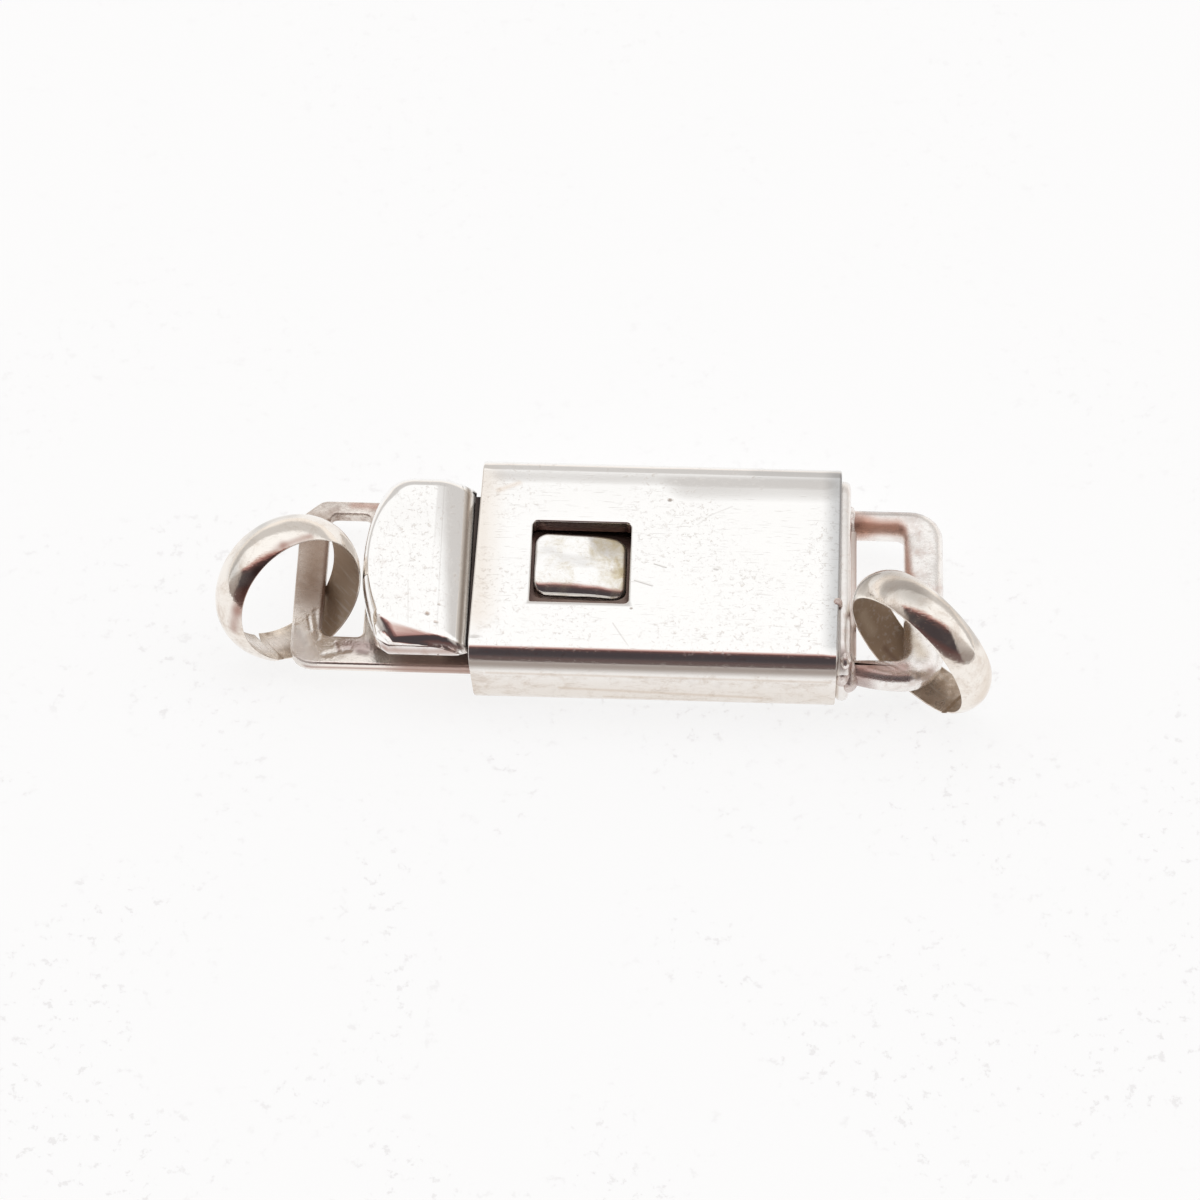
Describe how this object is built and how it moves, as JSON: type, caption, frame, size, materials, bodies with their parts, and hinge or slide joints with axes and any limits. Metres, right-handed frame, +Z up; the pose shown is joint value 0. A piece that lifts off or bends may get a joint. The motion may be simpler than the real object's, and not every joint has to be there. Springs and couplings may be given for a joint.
{
  "type": "box clasp",
  "caption": "Flat silver box clasp with a sprung tongue, a thumb tab, a wire loop and a half-round jump ring at each end",
  "frame": {"origin": "middle of the case's underside, on the table that the clasp lies on", "axes": "+X along the clasp from the tongue's end to the closed end, +Y across it away from the viewer, +Z up from the table"},
  "size_m": [0.0232, 0.0087, 0.005],
  "materials": {
    "silver": "polished sterling silver with fine scratches",
    "worn_silver": "sterling silver with brown tarnish"
  },
  "bodies": {
    "case": {"case": "silver", "right_ring": "silver"},
    "tongue": {"tongue": "worn_silver", "left_ring": "silver"},
    "catch": {"catch_leaf": "silver"}
  },
  "joints": [
    {"name": "tongue_slide", "type": "slide", "parent": "case", "child": "tongue", "axis": [-1, 0, 0], "range_m": [0, 0.0125], "deforming": ["catch_leaf"]},
    {"name": "catch_press", "type": "hinge", "parent": "tongue", "child": "catch", "pos_m": [0.0046, -0.00014, 0.00137], "axis": [0, -1, 0], "range_deg": [0, 2.5], "stiffness_Nm_per_rad": 0.27}
  ]
}
